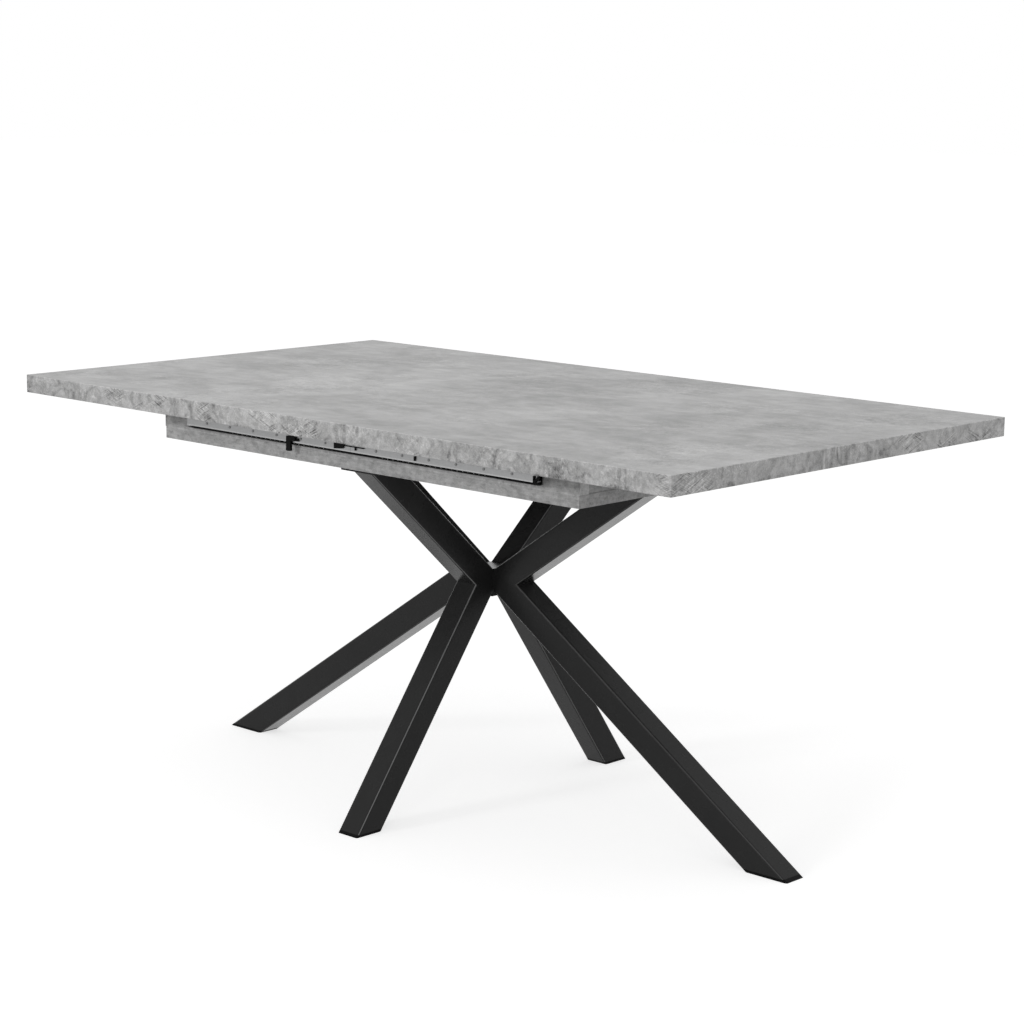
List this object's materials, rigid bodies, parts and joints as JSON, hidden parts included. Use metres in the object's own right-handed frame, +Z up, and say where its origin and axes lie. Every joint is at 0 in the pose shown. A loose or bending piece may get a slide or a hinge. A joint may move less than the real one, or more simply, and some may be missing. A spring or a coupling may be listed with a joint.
{
  "type": "extendable dining table",
  "caption": "Dining table on a black star base; its top halves roll apart on ball slides for a spare leaf kept in the frame box.",
  "frame": {"origin": "on the floor under the middle of the closed table", "axes": "+X along the table, -Y towards its front long side, +Z up"},
  "size_m": [1.6, 0.92, 0.76],
  "materials": {
    "concrete_laminate": "satin",
    "box_laminate": "satin",
    "black_steel": "satin",
    "zinc_steel": "satin",
    "screw_steel": "satin",
    "black_channel": "satin",
    "ball_cage": "satin",
    "black_plastic": "matte",
    "beech": "matte",
    "felt": "matte"
  },
  "bodies": {
    "base": {"base_board": "box_laminate", "rail_front": "box_laminate", "rail_back": "box_laminate", "end_board_left": "box_laminate", "end_board_right": "box_laminate", "box_screws": "screw_steel", "plate_right": "black_steel", "plate_back": "black_steel", "plate_left": "black_steel", "plate_front": "black_steel", "plate_screws": "black_steel", "arm_right": "black_steel", "arm_back": "black_steel", "arm_left": "black_steel", "arm_front": "black_steel", "leg_right": "black_steel", "leg_back": "black_steel", "leg_left": "black_steel", "leg_front": "black_steel", "hub_post": "black_steel", "foot_caps": "black_plastic", "leaf": "concrete_laminate", "leaf_dowels": "beech", "leaf_felts": "felt", "slide_outer_front": "black_channel", "slide_outer_back": "black_channel", "slide_screws": "screw_steel", "pinion_axle": "zinc_steel", "sync_housing": "black_plastic", "sync_screws": "screw_steel"},
    "top_left": {"top_left": "concrete_laminate", "carrier_front_left": "zinc_steel", "carrier_back_left": "zinc_steel", "slide_inner_front_left": "zinc_steel", "slide_inner_back_left": "zinc_steel", "rivets_left": "screw_steel", "top_screws_left": "screw_steel", "rack_left": "zinc_steel", "seam_guide_front": "black_plastic", "end_stops_back": "black_plastic"},
    "top_right": {"top_right": "concrete_laminate", "top_dowels": "beech", "carrier_front_right": "zinc_steel", "carrier_back_right": "zinc_steel", "slide_inner_front_right": "zinc_steel", "slide_inner_back_right": "zinc_steel", "rivets_right": "screw_steel", "top_screws_right": "screw_steel", "rack_right": "zinc_steel", "seam_guide_back": "black_plastic", "end_stops_front": "black_plastic"},
    "cages_left": {"ball_cage_front_left": "ball_cage", "ball_cage_back_left": "ball_cage"},
    "cages_right": {"ball_cage_front_right": "ball_cage", "ball_cage_back_right": "ball_cage"},
    "pinion": {"pinion": "black_plastic"},
    "lock_front": {"lock_lever_front": "black_plastic"},
    "lock_back": {"lock_lever_back": "black_plastic"}
  },
  "joints": [
    {"name": "top_left_slide", "type": "slide", "parent": "base", "child": "top_left", "axis": [-1, 0, 0], "range_m": [0, 0.2]},
    {"name": "top_right_slide", "type": "slide", "parent": "base", "child": "top_right", "axis": [1, 0, 0], "range_m": [0, 0.2]},
    {"name": "cages_left_slide", "type": "slide", "parent": "base", "child": "cages_left", "axis": [-1, 0, 0], "range_m": [0, 0.1]},
    {"name": "cages_right_slide", "type": "slide", "parent": "base", "child": "cages_right", "axis": [1, 0, 0], "range_m": [0, 0.1]},
    {"name": "pinion_spin", "type": "hinge", "parent": "base", "child": "pinion", "pos_m": [0, 0.194, 0.71], "axis": [0, 0, -1], "range_deg": [0, 573]},
    {"name": "lock_front_turn", "type": "hinge", "parent": "top_left", "child": "lock_front", "pos_m": [-0.156, -0.368, 0.7005], "axis": [0, 1, 0], "range_deg": [0, 90]},
    {"name": "lock_back_turn", "type": "hinge", "parent": "top_right", "child": "lock_back", "pos_m": [0.156, 0.368, 0.7005], "axis": [0, -1, 0], "range_deg": [0, 90]}
  ],
  "couplings": [
    {"joint": "top_right_slide", "follows": "top_left_slide", "ratio": 1},
    {"joint": "cages_left_slide", "follows": "top_left_slide", "ratio": 0.5},
    {"joint": "cages_right_slide", "follows": "top_left_slide", "ratio": 0.5},
    {"joint": "pinion_spin", "follows": "top_left_slide", "rad_per_m": 50}
  ]
}
